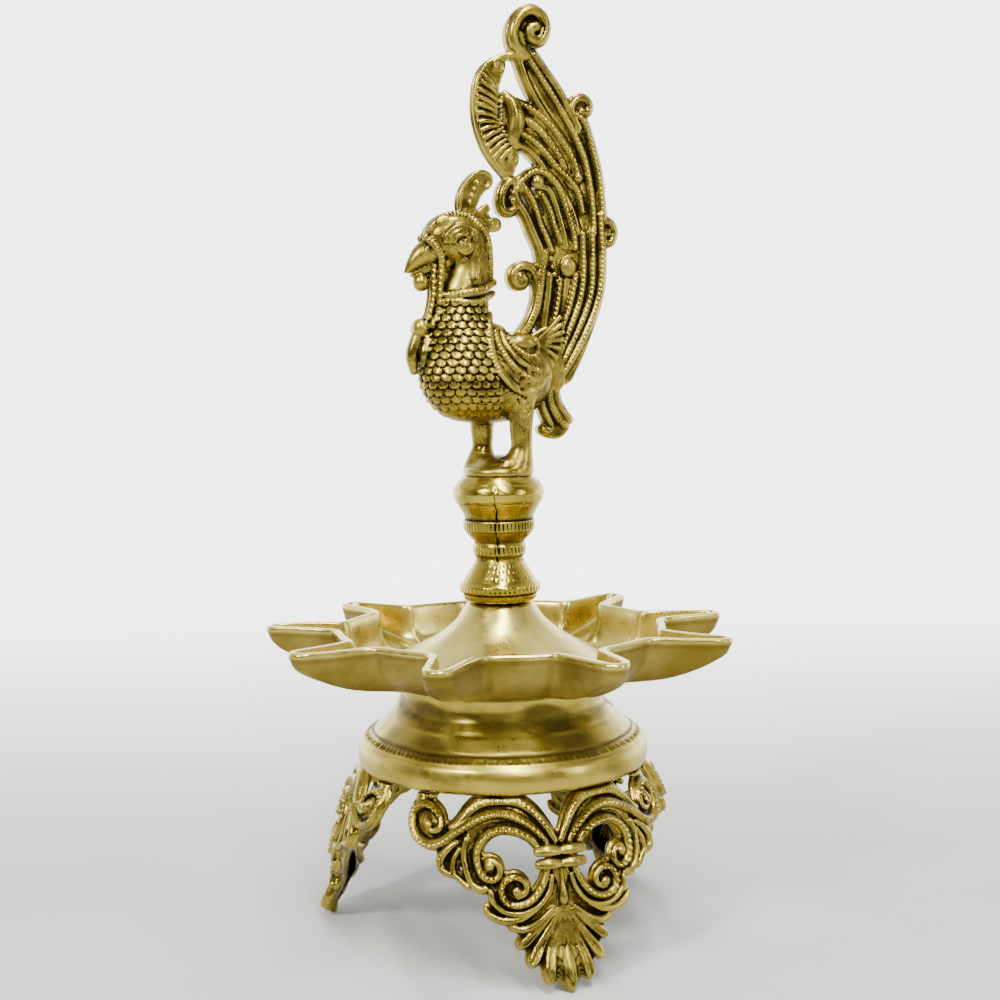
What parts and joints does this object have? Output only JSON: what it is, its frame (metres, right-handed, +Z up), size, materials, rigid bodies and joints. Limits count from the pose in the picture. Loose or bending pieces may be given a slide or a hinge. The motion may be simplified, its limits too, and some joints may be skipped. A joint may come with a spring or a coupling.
{
  "type": "standing oil lamp",
  "caption": "Standing brass oil lamp: spouted dish with a central column and a peacock finial, on a bell pedestal with pierced scroll legs.",
  "frame": {"origin": "middle of the footprint at floor level; the lamp's axis is the Z axis", "axes": "+Z up, the peacock faces -X, +Y is away from the viewer's side (the bird's left side shows from -Y)"},
  "size_m": [0.1616, 0.162, 0.317],
  "materials": {
    "polished_brass": "satin polished",
    "antiqued_brass": "cast, dark in the grooves and worn bright on the ridges",
    "nut_brass": "machined",
    "steel": "plain turned steel"
  },
  "bodies": {
    "base": {"pedestal_bell": "polished_brass", "leg_front": "antiqued_brass", "leg_left": "antiqued_brass", "leg_back": "antiqued_brass", "leg_screw_front_a": "steel", "leg_screw_front_b": "steel", "leg_screw_left_a": "steel", "leg_screw_left_b": "steel", "leg_screw_back_a": "steel", "leg_screw_back_b": "steel"},
    "plate": {"oil_plate": "polished_brass"},
    "column": {"column": "polished_brass"},
    "rod": {"tie_rod": "steel"},
    "bird": {"peacock_body": "antiqued_brass", "peacock_tail": "antiqued_brass"},
    "washer": {"tie_washer": "steel"},
    "nut": {"tie_nut": "nut_brass"}
  },
  "joints": [
    {"name": "plate_lift", "type": "slide", "parent": "base", "child": "plate", "axis": [0, 0, 1], "range_m": [0, 0.03]},
    {"name": "column_lift", "type": "slide", "parent": "plate", "child": "column", "axis": [0, 0, 1], "range_m": [0, 0.02]},
    {"name": "rod_lift", "type": "slide", "parent": "column", "child": "rod", "axis": [0, 0, 1], "range_m": [0, 0.09]},
    {"name": "bird_turn", "type": "hinge", "parent": "rod", "child": "bird", "pos_m": [0, 0, 0.16], "axis": [0, 0, 1], "range_deg": [-180, 180]},
    {"name": "washer_drop", "type": "slide", "parent": "base", "child": "washer", "axis": [0, 0, -1], "range_m": [0, 0.0125]},
    {"name": "nut_turn", "type": "hinge", "parent": "washer", "child": "nut", "pos_m": [0, 0, 0.08], "axis": [0, 0, -1], "range_deg": [0, 3600]}
  ],
  "couplings": [
    {"joint": "nut_turn", "follows": "washer_drop", "rad_per_m": 5026.5}
  ]
}
